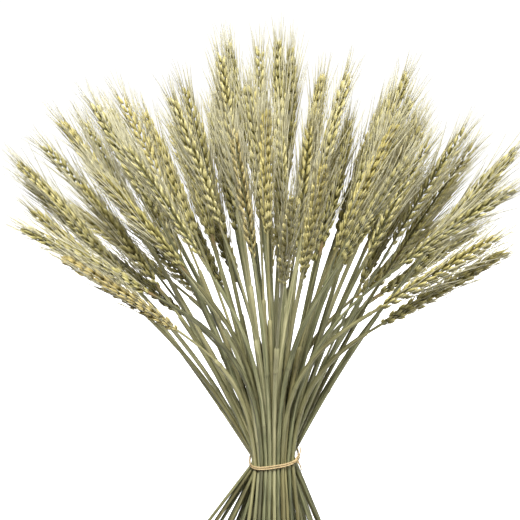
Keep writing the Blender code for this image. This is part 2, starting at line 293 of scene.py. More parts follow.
def dress(tree, shader, look, tone, patterns, layers, rough, relief=None):
    # What every material here ends in: patterns added to a tone, which picks a shade; colours laid
    # over it; roughness that follows a pattern; relief and gloss.
    add = partial(addNode, tree)
    for pattern, amount in zip(patterns, look["contrast"]):
        tone = add(
            "ShaderNodeMath", {0: pattern, 1: amount, 2: tone}, operation="MULTIPLY_ADD"
        ).outputs[0]
    colour = add("ShaderNodeValToRGB", {"Fac": tone}, stops=look["shades"]).outputs["Color"]
    for share, over in layers:
        colour = add(
            "ShaderNodeMix", {0: share, 6: colour, 7: toLinear(look[over])}, data_type="RGBA"
        ).outputs[2]
    low, high = look["roughness"]
    matt = add("ShaderNodeMapRange", {"Value": rough, "To Min": low, "To Max": high})
    tree.links.new(colour, shader.inputs["Base Color"])
    tree.links.new(matt.outputs[0], shader.inputs["Roughness"])
    if relief:
        strength, depth = look["relief"]
        raised = add("ShaderNodeBump", {"Strength": strength, "Distance": depth, "Height": relief})
        tree.links.new(raised.outputs[0], shader.inputs["Normal"])
    shader.inputs["Specular IOR Level"].default_value = look["specular"]


# Wheat straw, dried green: ribbed lengthwise by its veins, with a thin wax bloom that leaves a soft
# satin sheen. It goes straw yellow in patches and brown at the rough neck under the ear; below the
# tie it is darkened by painted shade.
strawLook = {
    "shades": ((0.12, "#313320"), (0.45, "#7B7C57"), (0.85, "#B6B189")),
    "ripe": "#A8975C",
    "neck": "#876A41",
    "joint": "#4B4229",
    "streakWidth": 0.5 * mm,  # veins are 0.3 mm apart; drawn coarser so that they show
    "streakLength": 22 * mm,
    "patchLength": 45 * mm,
    "stemRadius": 1.4 * mm,  # a middling stem's, for the streaks' width round all of them
    "shadeBelowTie": (-30 * mm, 5 * mm),  # painted shade, from the tie: full below the first height, gone at the second
    "tone": (-0.6, -0.44),  # where the painted shade below the tie is full, and elsewhere
    "contrast": (1.3, 0.48),  # of the streaks, and from stem to stem
    "relief": (0.5, 0.12 * mm),
    "roughness": (0.42, 0.66),
    "specular": 0.35,
}


def makeStraw():
    look = strawLook
    material, tree, shader = newMaterial("dried wheat straw, waxy")
    add = partial(addNode, tree)
    around = add("ShaderNodeAttribute", attribute_name="around").outputs["Vector"]
    along, shade, ripe, neck, joint = (
        add("ShaderNodeAttribute", attribute_name=name).outputs["Fac"]
        for name in ("along", "shade", "ripe", "neck", "joint")
    )
    # Each stem has its own shade, which also moves the patterns far away from the next stem's.
    lengths = add("ShaderNodeCombineXYZ", {"X": shade, "Y": shade, "Z": along})
    streakPlace, patchPlace = (
        add(
            "ShaderNodeVectorMath",
            {0: lengths.outputs[0], 1: (*apart, 1 / length)},
            operation="MULTIPLY",
        ).outputs[0]
        for apart, length in (((31, 17), look["streakLength"]), ((53, 29), look["patchLength"]))
    )
    ribs = look["stemRadius"] / look["streakWidth"]
    ribPlace = add(
        "ShaderNodeVectorMath",
        {0: around, 1: (ribs, ribs, 0), 2: streakPlace},
        operation="MULTIPLY_ADD",
    )
    streaks = add(
        "ShaderNodeTexNoise",
        {"Vector": ribPlace.outputs[0], "Scale": 1.0, "Detail": 2.0, "Roughness": 0.55},
    ).outputs["Fac"]
    patches = add(
        "ShaderNodeTexNoise", {"Vector": patchPlace, "Scale": 1.0, "Detail": 3.0}
    ).outputs["Fac"]
    # Painted shade: the straw's tone is darker below the tie and back to its own just above it.
    darkestAt, fullAt = look["shadeBelowTie"]
    shadeBelowTie, full = look["tone"]
    tone = add(
        "ShaderNodeMapRange",
        {"Value": along, "From Min": darkestAt, "From Max": fullAt, "To Min": shadeBelowTie, "To Max": full},
    ).outputs[0]
    yellowing = add("ShaderNodeMath", {0: ripe, 1: patches}, operation="MULTIPLY")
    layers = ((yellowing.outputs[0], "ripe"), (neck, "neck"), (joint, "joint"))
    dress(tree, shader, look, tone, (streaks, shade), layers, patches, streaks)
    return material


# Wheat husk, dried: papery scales folded round the grain, each ribbed by a few nerves. Matt, paler
# towards its tip, greener and darker at its foot with painted shade of the crevice it sits in, and
# a few ears gone orange brown.
huskLook = {
    "shades": ((0.15, "#3F3B19"), (0.5, "#9C955A"), (0.9, "#DCD39C")),
    "ripe": "#C6B76C",
    "scorched": "#A98350",
    "nerveWidth": 0.55 * mm,
    "nerveLength": 8 * mm,
    "climb": (10 * mm, -0.35, 0.2),  # a scale's height, and the tone at its foot, darkened by painted shade, and at its tip
    "contrast": (0.8, 0.3, 0.25),  # of the nerves, from scale to scale, and from ear to ear
    "relief": (0.45, 0.15 * mm),
    "roughness": (0.5, 0.75),
    "specular": 0.3,
}


def makeHusk():
    look = huskLook
    material, tree, shader = newMaterial("dried wheat husk, papery")
    add = partial(addNode, tree)
    rest = add("ShaderNodeAttribute", attribute_name="rest").outputs["Vector"]
    grain, shade, ripe, joint = (
        add("ShaderNodeAttribute", attribute_name=name).outputs["Fac"]
        for name in ("grain", "shade", "ripe", "joint")
    )
    across, lengthwise = 1 / look["nerveWidth"], 1 / look["nerveLength"]
    nervePlace = add(
        "ShaderNodeVectorMath",
        {0: rest, 1: (across, across, lengthwise), 2: grain},
        operation="MULTIPLY_ADD",
    )
    nerves = add(
        "ShaderNodeTexNoise",
        {"Vector": nervePlace.outputs[0], "Scale": 1.0, "Detail": 2.0, "Roughness": 0.6},
    ).outputs["Fac"]
    height = add("ShaderNodeSeparateXYZ", {0: rest}).outputs["Z"]
    # Painted shade: each scale is darkest at its foot, down among its neighbours, and lighter up to its
    # tip.
    top, shadedFoot, atTip = look["climb"]
    tone = add(
        "ShaderNodeMapRange",
        {"Value": height, "From Min": 0.0, "From Max": top, "To Min": shadedFoot, "To Max": atTip},
    ).outputs[0]
    layers = ((ripe, "ripe"), (joint, "scorched"))
    dress(tree, shader, look, tone, (nerves, grain, shade), layers, nerves, nerves)
    return material


# Wheat awn, dried: a stiff bristle with a satin side, straw at its root and greyer to its tip.
awnLook = {
    "shades": ((0.0, "#FBF5D0"), (1.0, "#ADA88C")),
    "length": 50 * mm,
    "greying": 0.7,  # how far up the shades an awn climbs by its tip
    "contrast": (0.3,),  # from awn to awn
    "roughness": (0.4, 0.6),
    "specular": 0.4,
}


def makeAwn():
    look = awnLook
    material, tree, shader = newMaterial("dried wheat awn, satin")
    add = partial(addNode, tree)
    rest = add("ShaderNodeAttribute", attribute_name="rest").outputs["Vector"]
    grain = add("ShaderNodeAttribute", attribute_name="grain").outputs["Fac"]
    height = add("ShaderNodeSeparateXYZ", {0: rest}).outputs["Z"]
    climb = add(
        "ShaderNodeMapRange",
        {"Value": height, "From Max": look["length"], "To Max": look["greying"]},
    )
    dress(tree, shader, look, climb.outputs[0], (grain,), (), grain)
    return material


# Raffia twine: flat palm-leaf strips rolled into a thin cord, matt and pale tan, streaked along
# the twist by its fibres.
twineLook = {
    "shades": ((0.28, "#86704C"), (0.5, "#C0A87C"), (0.72, "#DCC99E")),
    "fibreLength": 5 * mm,
    "fibreScale": 2.6,  # patches to a strand's radius, so that fibres are near 0.3 mm wide
    "contrast": (),
    "relief": (0.6, 0.12 * mm),
    "roughness": (0.6, 0.8),
    "specular": 0.25,
}


def makeRaffia():
    look = twineLook
    material, tree, shader = newMaterial("raffia twine, rolled by hand")
    add = partial(addNode, tree)
    around = add("ShaderNodeAttribute", attribute_name="around").outputs["Vector"]
    along = add("ShaderNodeAttribute", attribute_name="along").outputs["Fac"]
    lengths = add("ShaderNodeCombineXYZ", {"Z": along})
    fibrePlace = add(
        "ShaderNodeVectorMath",
        {0: lengths.outputs[0], 1: (1, 1, 1 / look["fibreLength"]), 2: around},
        operation="MULTIPLY_ADD",
    )
    fibres = add(
        "ShaderNodeTexNoise",
        {
            "Vector": fibrePlace.outputs[0],
            "Scale": look["fibreScale"],
            "Detail": 3.0,
            "Roughness": 0.6,
        },
    ).outputs["Fac"]
    dress(tree, shader, look, fibres, (), (), fibres, fibres)
    return material


# Shapes that are repeated: one floret, one glume and one awn, each with its foot at the origin,
# its length along Z and its outer side towards +X.

floretShape = {
    "length": 10.8 * mm,
    "width": 2.75 * mm,
    "depth": 2.6 * mm,
    "sides": 5,
    "outline": ((0.0, 0.4), (0.2, 0.9), (0.44, 1.0), (0.7, 0.64), (0.9, 0.24)),
    "bow": 0.5 * mm,
    "keel": 0.22,
}
glumeShape = {
    "length": 8.4 * mm,
    "width": 2.4 * mm,
    "depth": 2.1 * mm,
    "sides": 5,
    "outline": ((0.0, 0.4), (0.3, 1.0), (0.68, 0.78)),
    "bow": 0.7 * mm,
    "keel": 0.3,
}
awnShape = {
    "length": awnLook["length"],
    "width": 0.8 * mm,  # real ones are near 0.4 mm; drawn coarser so that they show
    "depth": 0.8 * mm,
    "sides": 3,
    "outline": ((0.0, 1.0), (0.5, 0.8), (0.85, 0.45)),
    "bow": -0.6 * mm,
    "keel": 0.0,
}


def sourceShape(name, shape):
    # A pointed, keeled scale or bristle; the rest attribute keeps its own coordinates for the patterns.
    bm = bmesh.new()
    loops = []
    for share, fullness in shape["outline"]:
        middle = shape["bow"] * math.sin(math.pi * share)
        loop = []
        for corner in range(shape["sides"]):
            angle = math.tau * corner / shape["sides"]
            reach = fullness * (1 + shape["keel"] * (corner == 0))
            x = middle + math.cos(angle) * shape["depth"] / 2 * reach
            y = math.sin(angle) * shape["width"] / 2 * reach
            loop.append(bm.verts.new((x, y, share * shape["length"])))
        loops.append(loop)
    tip = bm.verts.new((0, 0, shape["length"]))
    bm.faces.new(loops[0][::-1])
    for corner in range(shape["sides"]):
        after = (corner + 1) % shape["sides"]
        for lower, upper in zip(loops, loops[1:]):
            bm.faces.new((lower[corner], lower[after], upper[after], upper[corner]))
        bm.faces.new((loops[-1][corner], loops[-1][after], tip))
    mesh = bpy.data.meshes.new(name)
    bm.to_mesh(mesh)
    bm.free()
    mesh.shade_smooth()
    rest = mesh.attributes.new("rest", "FLOAT_VECTOR", "POINT")
    rest.data.foreach_set("vector", [c for vertex in mesh.vertices for c in vertex.co])
    return newObject(name, mesh)


# One spikelet: where its florets, glumes and awns sit. Offsets are outward, sideways and up; lean
# is outward and spread is sideways.
spikelet = {
    "count": 26,
    "florets": (
        {"offset": (0.7 * mm, 1.9 * mm, 0), "lean": 15, "spread": 10, "size": 1.0, "awn": 1.0},
        {"offset": (0.7 * mm, -1.9 * mm, 0), "lean": 15, "spread": -10, "size": 1.0, "awn": 1.0},
        {"offset": (1.5 * mm, 0.8 * mm, 1.9 * mm), "lean": 20, "spread": 4, "size": 0.94, "awn": 0.76},
        {"offset": (1.5 * mm, -0.8 * mm, 1.9 * mm), "lean": 20, "spread": -4, "size": 0.94, "awn": 0.12},
    ),
    "glumes": (
        {"offset": (0.6 * mm, 2.6 * mm, -0.5 * mm), "lean": 10, "spread": 19, "size": 1.0},
        {"offset": (0.6 * mm, -2.6 * mm, -0.5 * mm), "lean": 10, "spread": -19, "size": 1.0},
    ),
    "plumpness": ((0, 0.5), (0.22, 0.9), (0.7, 0.92), (1, 0.7)),
    "opening": ((0, 0.8), (0.5, 1.0), (1, 0.55)),
    "awnLength": ((0, 1.0), (0.45, 0.96), (0.8, 0.76), (1, 0.66)),
    "plump": 1.0,
    "sizeVaries": 0.12,
    "untidy": math.radians(6.5),
    "awnStretch": 0.9,
    "awnSeat": 0.94,  # share of the floret's length where its awn is rooted
    "awnRights": 0.5,  # share of the floret's lean that its awn takes back
    "awnUntidy": math.radians(5),
}


def wheatTree():
    kinds = {
        "Geometry": ("Lines",),
        "Int": ("Ribs", "Spikelets", "Seed"),
        "Float": (
            "Rib Depth",
            "Plumpness",
            "Awn Length",
            "Size Variation",
            "Untidiness",
            "Awn Untidiness",
        ),
        "Object": ("Floret", "Glume", "Awn"),
        "Material": ("Straw", "Husk", "Bristle"),
    }
    tree = newTree("wheat stalks", kinds, "Stalks")
    add = partial(addNode, tree)
    given = add("NodeGroupInput").outputs
    part = add("GeometryNodeInputNamedAttribute", {"Name": "part"}, data_type="FLOAT")
    inEar = add("FunctionNodeCompare", {0: part.outputs[0], 1: 0.5}, operation="GREATER_THAN")
    split = add(
        "GeometryNodeSeparateGeometry", {0: given["Lines"], 1: inEar.outputs[0]}, domain="POINT"
    )

    # The straw: a ribbed profile swept along each stem, as wide as the line's points say
    stems = add("GeometryNodeMeshToCurve", {0: split.outputs["Inverted"]})
    inner = add("ShaderNodeMath", {0: 1.0, 1: given["Rib Depth"]}, operation="SUBTRACT")
    profile = add(
        "GeometryNodeCurveStar",
        {"Points": given["Ribs"], "Inner Radius": inner.outputs[0], "Outer Radius": 1.0, "Twist": 0.0},
    )
    place = add("GeometryNodeInputPosition")
    profile = add(
        "GeometryNodeStoreNamedAttribute",
        {"Geometry": profile.outputs[0], "Name": "around", "Value": place.outputs[0]},
        data_type="FLOAT_VECTOR",
        domain="POINT",
    )
    width = add("GeometryNodeInputNamedAttribute", {"Name": "halfWidth"}, data_type="FLOAT")
    straws = add(
        "GeometryNodeCurveToMesh",
        {0: stems.outputs[0], 1: profile.outputs[0], 2: width.outputs[0], 3: True},
    )
    straws = add("GeometryNodeSetMaterial", {0: straws.outputs[0], "Material": given["Straw"]})

    # The ears: spikelets at even steps, on the two ranks in turn
    ears = add("GeometryNodeMeshToCurve", {0: split.outputs["Selection"]})
    ears = add("GeometryNodeResampleCurve", {0: ears.outputs[0], "Count": given["Spikelets"]})
    share = add("GeometryNodeSplineParameter")
    ears = add(
        "GeometryNodeStoreNamedAttribute",
        {"Geometry": ears.outputs[0], "Name": "share", "Value": share.outputs["Factor"]},
        data_type="FLOAT",
        domain="POINT",
    )
    index = add("GeometryNodeInputIndex")
    odd = add("ShaderNodeMath", {0: index.outputs[0], 1: 2.0}, operation="MODULO")
    side = add("ShaderNodeMath", {0: odd.outputs[0], 1: -2.0, 2: 1.0}, operation="MULTIPLY_ADD")
    rank = add("GeometryNodeInputNamedAttribute", {"Name": "rank"}, data_type="FLOAT_VECTOR")
    outward = add(
        "ShaderNodeVectorMath", {0: rank.outputs[0], "Scale": side.outputs[0]}, operation="SCALE"
    )
    tangent = add("GeometryNodeInputTangent")
    facing = add(
        "FunctionNodeAxesToRotation",
        {0: tangent.outputs[0], 1: outward.outputs[0]},
        primary_axis="Z",
        secondary_axis="X",
    )
    upEar = add("GeometryNodeInputNamedAttribute", {"Name": "share"}, data_type="FLOAT")
    full = add(
        "ShaderNodeFloatCurve", {"Value": share.outputs["Factor"]}, curve=spikelet["plumpness"]
    )
    full = add("ShaderNodeMath", {0: full.outputs[0], 1: given["Plumpness"]}, operation="MULTIPLY")
    opening = add("ShaderNodeFloatCurve", {"Value": upEar.outputs[0]}, curve=spikelet["opening"])
    reach = add("ShaderNodeFloatCurve", {"Value": upEar.outputs[0]}, curve=spikelet["awnLength"])
    draws = itertools.count()

    def freshSeed():
        # Every random value has its own; a piece's start 100 after the last one's, more than it uses.
        return add(
            "ShaderNodeMath",
            {0: given["Seed"], 1: 100.0, 2: float(next(draws))},
            operation="MULTIPLY_ADD",
        ).outputs[0]

    def turned(instances, turn, sloppiness):
        # Leans the instances by a turn that opens with their place on the ear, and a random bit more.
        stray = add(
            "FunctionNodeRandomValue",
            {0: (-1, -1, -1), 1: (1, 1, 1), "Seed": freshSeed()},
            data_type="FLOAT_VECTOR",
        )
        stray = add(
            "ShaderNodeVectorMath", {0: stray.outputs[0], "Scale": sloppiness}, operation="SCALE"
        )
        turn = add("ShaderNodeVectorMath", {0: turn, "Scale": opening.outputs[0]}, operation="SCALE")
        turn = add("ShaderNodeVectorMath", {0: turn.outputs[0], 1: stray.outputs[0]}, operation="ADD")
        turn = add("FunctionNodeEulerToRotation", {0: turn.outputs[0]})
        return add(
            "GeometryNodeRotateInstances",
            {0: instances, "Rotation": turn.outputs[0], "Local Space": True},
        ).outputs[0]

    def seated(source, place):
        # One copy of a source on every spikelet, moved to its place there and leant outwards.
        shape = add("GeometryNodeObjectInfo", {"Object": given[source]})
        smaller, larger = (
            add("ShaderNodeMath", {0: 1.0, 1: given["Size Variation"]}, operation=way)
            for way in ("SUBTRACT", "ADD")
        )
        varied = add(
            "FunctionNodeRandomValue",
            {2: smaller.outputs[0], 3: larger.outputs[0], "Seed": freshSeed()},
            data_type="FLOAT",
        )
        size = full.outputs[0]
        for factor in (place["size"], varied.outputs[1]):
            size = add("ShaderNodeMath", {0: size, 1: factor}, operation="MULTIPLY").outputs[0]
        copies = add(
            "GeometryNodeInstanceOnPoints",
            {
                "Points": ears.outputs[0],
                "Instance": shape.outputs["Geometry"],
                "Rotation": facing.outputs[0],
                "Scale": size,
            },
        )
        copies = add(
            "GeometryNodeTranslateInstances",
            {0: copies.outputs[0], "Translation": place["offset"], "Local Space": True},
        )
        turn = (-math.radians(place["spread"]), math.radians(place["lean"]), 0)
        return turned(copies.outputs[0], turn, given["Untidiness"])

    def finished(instances, material):
        # Gives each copy its own shade and turns the copies into one mesh.
        grain = add(
            "FunctionNodeRandomValue", {2: 0.0, 3: 1.0, "Seed": freshSeed()}, data_type="FLOAT"
        )
        shaded = add(
            "GeometryNodeStoreNamedAttribute",
            {"Geometry": instances, "Name": "grain", "Value": grain.outputs[1]},
            data_type="FLOAT",
            domain="INSTANCE",
        )
        real = add("GeometryNodeRealizeInstances", {0: shaded.outputs[0]})
        return add(
            "GeometryNodeSetMaterial", {0: real.outputs[0], "Material": given[material]}
        ).outputs[0]

    parts = [straws.outputs[0]]
    for place in spikelet["glumes"]:
        parts.append(finished(seated("Glume", place), "Husk"))
    for place in spikelet["florets"]:
        parts.append(finished(seated("Floret", place), "Husk"))
        bristles = seated("Awn", place)
        bristles = add(
            "GeometryNodeTranslateInstances",
            {
                0: bristles,
                "Translation": (0, 0, spikelet["awnSeat"] * floretShape["length"]),
                "Local Space": True,
            },
        ).outputs[0]
        rights = spikelet["awnRights"]
        back = (math.radians(place["spread"]) * rights, -math.radians(place["lean"]) * rights, 0)
        bristles = turned(bristles, back, given["Awn Untidiness"])
        stretch = reach.outputs[0]
        for factor in (given["Awn Length"], place["awn"]):
            stretch = add("ShaderNodeMath", {0: stretch, 1: factor}, operation="MULTIPLY").outputs[0]
        stretch = add("ShaderNodeCombineXYZ", {"X": 1.0, "Y": 1.0, "Z": stretch})
        bristles = add(
            "GeometryNodeScaleInstances",
            {0: bristles, "Scale": stretch.outputs[0], "Local Space": True},
        ).outputs[0]
        parts.append(finished(bristles, "Bristle"))
    joined = add("GeometryNodeJoinGeometry")
    for piece in reversed(parts):
        tree.links.new(piece, joined.inputs[0])
    real = add("GeometryNodeRealizeInstances", {0: joined.outputs[0]})
    add("NodeGroupOutput", {0: real.outputs[0]})
    return tree


# The straw, and what varies from stalk to stalk
stalkLooks = {
    "seed": 5,
    "ribs": 8,
    "ribDepth": 0.07,
    "tieRadius": (1.3 * mm, 1.62 * mm),
    "neckRadius": (0.88 * mm, 1.12 * mm),
    "bareStem": 0.8,  # radius of the bare straw at the tie, as a share of its sheath's
    "sheathedToNeck": 0.3,  # share of stalks whose leaf sheath still wraps the stem right up to the ear
    "sheathedNeck": (0.97, 1.35),  # where such a sheath ends, and how much it thickens the neck
    "sheathEnd": (0.5, 0.92),  # where the others end, as a share of the way to the ear
    "sheathBelly": 0.36,
    "sheathTaper": 0.05,
    "jointHeight": (15 * mm, 95 * mm),
    "jointLength": 1.3 * mm,
    "jointSwells": 0.2,
    "jointStains": 0.4,
    "roughNeck": 9 * mm,
    "neckSwells": 1.12,
    "neckKnobs": (3, 0.16),  # how many, and how high
    "thinsInEar": 0.5,
    "ripest": 0.6,
    "scorched": (0.05, 0.24),  # share of ears gone orange brown, and how far
    "earTurn": math.radians(45),
    "earYellow": (0.3, 0.9),  # at the ear's foot, and how much more at its tip
    "earSteps": 16,
    "pastFloor": 2 * mm,  # how far each stem runs on before its foot is cut level
}

# Where a stem's line has its points: close at the tie, at its joint, at its sheath's end and in its
# rough neck, and sparse between them.
stemMarks = {
    "belowTie": (1, 0.7, 0.4),  # shares of the way to the foot
    "atTie": (-15 * mm, -7 * mm, -3 * mm, 0, 3 * mm, 7 * mm, 13 * mm),
    "between": (20 * mm, 30 * mm, 12),  # the first, how much of the stem they leave out, how many
    "atJoint": (-3 * mm, -1.2 * mm, 0, 1.2 * mm, 3 * mm),
    "atSheathEnd": (-0.6 * mm, 0, 0.8 * mm),
    "inNeck": 6,
    "inEar": (0.1, 0.3, 0.6, 0.93),
}


def drawLooks(draw, stalk):
    sheathed = draw.random() < stalkLooks["sheathedToNeck"]
    end = draw.uniform(*stalkLooks["sheathEnd"])
    sheathedEnd, thicker = stalkLooks["sheathedNeck"]
    scorched, scorch = stalkLooks["scorched"]
    return {
        "tie": draw.uniform(*stalkLooks["tieRadius"]),
        "neck": draw.uniform(*stalkLooks["neckRadius"]) * (thicker if sheathed else 1),
        "sheathEnd": stalk["base"] * (sheathedEnd if sheathed else end),
        "joint": draw.uniform(*stalkLooks["jointHeight"]),
        "brownNeck": draw.random() ** 2,
        "shade": draw.random(),
        "ripe": draw.random() ** 2 * stalkLooks["ripest"],
        "scorched": scorch * (draw.random() < scorched),
    }


def strawPoints(stalk, looks, foot):
    # Distances from the tie point, each with the stem's radius and how much of neck and joint it is.
    base, ear, joint, end = stalk["base"], stalk["ear"], looks["joint"], looks["sheathEnd"]
    rough = stalkLooks["roughNeck"]
    first, leftOut, count = stemMarks["between"]
    marks = [-share * foot for share in stemMarks["belowTie"]]
    marks += stemMarks["atTie"]
    marks += [first + k * (base - leftOut) / count for k in range(count)]
    marks += [joint + offset for offset in stemMarks["atJoint"]]
    marks += [end + offset for offset in stemMarks["atSheathEnd"]]
    marks += [base - rough + k * rough / stemMarks["inNeck"] for k in range(stemMarks["inNeck"] + 1)]
    marks += [base + ear * share for share in stemMarks["inEar"]]
    knobs, knobHeight = stalkLooks["neckKnobs"]
    bare = looks["tie"] * stalkLooks["bareStem"]
    points = []
    for distance in sorted(marks):
        climbed = max(0, distance) / base
        if distance < end:
            belly = stalkLooks["sheathBelly"] * math.sin(math.pi * min(1, climbed))
            radius = looks["tie"] * (1 + belly - stalkLooks["sheathTaper"] * climbed)
        else:
            radius = bare + (looks["neck"] - bare) * min(1, climbed)
        bump = math.exp(-(((distance - joint) / stalkLooks["jointLength"]) ** 2))
        radius *= 1 + stalkLooks["jointSwells"] * bump
        neck = min(max(0, (distance - base + rough) / rough), 1)
        if 0 < neck < 1:
            radius *= stalkLooks["neckSwells"] + knobHeight * math.sin(neck * (2 * knobs) * math.pi)
        if distance > base:
            radius = looks["neck"] * (1 - stalkLooks["thinsInEar"] * (distance - base) / ear)
            neck = max(0, 1 - (distance - base) / rough)
        points.append((distance, radius, neck * looks["brownNeck"], stalkLooks["jointStains"] * bump))
    return points


def drawLines(name, stalks, up, down, members, draw, shift):
    # The stems' and the ears' centre lines of one pair, with what the tree needs on their points.
    places, edges = [], []
    marks = {key: [] for key in ("part", "halfWidth", "along", "shade", "ripe", "neck", "joint")}
    ranks = []
    earSteps = stalkLooks["earSteps"]
    pale, yellower = stalkLooks["earYellow"]

    def addLine(points):
        for number, (place, rank, values) in enumerate(points):
            if number:
                edges.append((len(places) - 1, len(places)))
            places.append(place + shift)
            ranks.append(rank)
            for key, value in zip(marks, values):
                marks[key].append(value)

    for index in members:
        stalk = {key: values[index] for key, values in stalks.items()}
        looks = drawLooks(draw, stalk)
        low, lower = (pointAt(down[index], bunch["kink"] + k * bunch["step"]) for k in (0, 1))
        toFloor = (low.z + stalkLooks["pastFloor"]) / (low.z - lower.z) * bunch["step"]
        stem = []
        for distance, radius, neck, joint in strawPoints(stalk, looks, bunch["kink"] + toFloor):
            path = up[index] if distance >= 0 else down[index]
            values = (0, radius, distance, looks["shade"], looks["ripe"], neck, joint)
            stem.append((pointAt(path, abs(distance)), Vector((0, 0, 0)), values))
        addLine(stem)
        ear = []
        for step in range(earSteps + 1):
            distance = stalk["base"] + stalk["ear"] * step / earSteps
            ahead = pointAt(up[index], distance + bunch["step"])
            way = (ahead - pointAt(up[index], distance - bunch["step"])).normalized()
            across = (Vector((1, 0, 0)) - way * way.x).normalized()
            angle = stalkLooks["earTurn"] + stalk["turn"]
            rank = across * math.cos(angle) + way.cross(across) * math.sin(angle)
            yellow = looks["ripe"] * (pale + yellower * step / earSteps)
            values = (1, 0, distance, looks["shade"], yellow, 0, looks["scorched"])
            ear.append((pointAt(up[index], distance), rank, values))
        addLine(ear)
    mesh = bpy.data.meshes.new(name)
    mesh.from_pydata(places, edges, [])
    for key, values in marks.items():
        mesh.attributes.new(key, "FLOAT", "POINT").data.foreach_set("value", values)
    flat = [c for rank in ranks for c in rank]
    mesh.attributes.new("rank", "FLOAT_VECTOR", "POINT").data.foreach_set("vector", flat)
    return newObject(name, mesh)


footLook = {"wall": 0.4 * mm, "hollow": 3 * mm, "near": 1 * mm}


def cutFeet(mesh):
    # Cuts the stems level with the floor and hollows their ends.
    bm = bmesh.new()
    bm.from_mesh(mesh)
    near = [face for face in bm.faces if min(v.co.z for v in face.verts) < footLook["near"]]
    parts = {*near, *(e for f in near for e in f.edges), *(v for f in near for v in f.verts)}
    bmesh.ops.bisect_plane(
        bm, geom=list(parts), plane_co=(0, 0, 0), plane_no=(0, 0, -1), clear_outer=True
    )
    rim = [edge for edge in bm.edges if edge.is_boundary]
    caps = bmesh.ops.holes_fill(bm, edges=rim, sides=0)["faces"]
    for cap in caps:
        if cap.normal.z > 0:
            cap.normal_flip()
    bmesh.ops.inset_individual(bm, faces=caps, thickness=footLook["wall"])
    floors = bmesh.ops.extrude_discrete_faces(bm, faces=caps)["faces"]
    for floor in floors:
        for vertex in floor.verts:
            vertex.co.z += footLook["hollow"]
    bm.to_mesh(mesh)
    bm.free()


def makeStalks(materials):
    stalks = layOut()
    makeRoom(stalks)
    up, down = walkUp(stalks), walkDown(stalks)
    shift = waistMiddle()
    tree = wheatTree()
    sources = [
        sourceShape(name, shape)
        for name, shape in (("floret", floretShape), ("glume", glumeShape), ("awn", awnShape))
    ]
    draw = random.Random(stalkLooks["seed"])
    for pair in range(len(up) // 2):
        node = f"stalks_{pair + 1:02d}"
        lines = drawLines(f"wheat_{node}", stalks, up, down, (2 * pair, 2 * pair + 1), draw, shift)
        values = {
            "Ribs": stalkLooks["ribs"],
            "Rib Depth": stalkLooks["ribDepth"],
            "Spikelets": spikelet["count"],
            "Plumpness": spikelet["plump"],
            "Awn Length": spikelet["awnStretch"],
            "Size Variation": spikelet["sizeVaries"],
            "Untidiness": spikelet["untidy"],
            "Awn Untidiness": spikelet["awnUntidy"],
            "Seed": pair + 1,
            "Floret": sources[0],
            "Glume": sources[1],
            "Awn": sources[2],
            "Straw": materials["straw"],
            "Husk": materials["husk"],
            "Bristle": materials["awn"],
        }
        piece = settle(lines, tree, values)
        cutFeet(piece.data)
        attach(piece, "root")
        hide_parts(node)
    for source in sources:
        bpy.data.objects.remove(source)
    print(f"stalks: {len(up)} made in {len(up) // 2} pieces")
    return shift


# The tie: two strands of twine round the bunch, knotted at the front right, with two short ends
twine = {
    "radius": 0.75 * mm,
    "creases": {"Points": 5, "Inner Radius": 0.8, "Outer Radius": 1.1, "Twist": 0.0},
    "plyTwist": 4.5 * mm,  # length of one full turn
    "spread": (0.6 * mm, 0.86 * mm),  # half the distance between the strands, sides and front
    "seat": 0.6,  # how far outside the stems a strand's middle lies, in its radii
    "ringSteps": 120,
    "knotAngle": math.radians(-28),
    "knotSize": 1.0 * mm,
    "knotOut": 1.3 * mm,
    "knotWidth": 0.9,  # of the twine in it
    "knotSteps": 48,
    "knotRound": 17 * mm,  # the bunch's radius there, which turns lengths round it into angles
    "ends": ((1, 0.1), (-1, 0.16)),  # up or down, and how far each drifts round the bunch
    "endStart": (2.0 * mm, 1.2 * mm),  # out and up
    "endLength": 9 * mm,
    "endBow": 1.5 * mm,
    "endThins": 0.45,
    "endSteps": 12,
}


def twineTree():
    kinds = {"Geometry": ("Lines",), "Float": ("Radius", "Turn Length"), "Material": ("Raffia",)}
    tree = newTree("rolled twine", kinds, "Twine")
    add = partial(addNode, tree)
    given = add("NodeGroupInput").outputs
    curve = add("GeometryNodeMeshToCurve", {0: given["Lines"]})
    share = add("GeometryNodeSplineParameter")
    curve = add(
        "GeometryNodeStoreNamedAttribute",
        {"Geometry": curve.outputs[0], "Name": "along", "Value": share.outputs["Length"]},
        data_type="FLOAT",
        domain="POINT",
    )
    turns = add(
        "ShaderNodeMath",
        {0: share.outputs["Length"], 1: given["Turn Length"]},
        operation="DIVIDE",
    )
    tilt = add("ShaderNodeMath", {0: turns.outputs[0], 1: math.tau}, operation="MULTIPLY")
    curve = add("GeometryNodeSetCurveTilt", {0: curve.outputs[0], "Tilt": tilt.outputs[0]})
    profile = add("GeometryNodeCurveStar", twine["creases"])
    place = add("GeometryNodeInputPosition")
    profile = add(
        "GeometryNodeStoreNamedAttribute",
        {"Geometry": profile.outputs[0], "Name": "around", "Value": place.outputs[0]},
        data_type="FLOAT_VECTOR",
        domain="POINT",
    )
    thin = add("GeometryNodeInputNamedAttribute", {"Name": "thin"}, data_type="FLOAT")
    size = add("ShaderNodeMath", {0: thin.outputs[0], 1: given["Radius"]}, operation="MULTIPLY")
    cord = add(
        "GeometryNodeCurveToMesh",
        {0: curve.outputs[0], 1: profile.outputs[0], 2: size.outputs[0], 3: True},
    )
    real = add("GeometryNodeRealizeInstances", {0: cord.outputs[0]})
    dressed = add("GeometryNodeSetMaterial", {0: real.outputs[0], "Material": given["Raffia"]})
    add("NodeGroupOutput", {0: dressed.outputs[0]})
    return tree


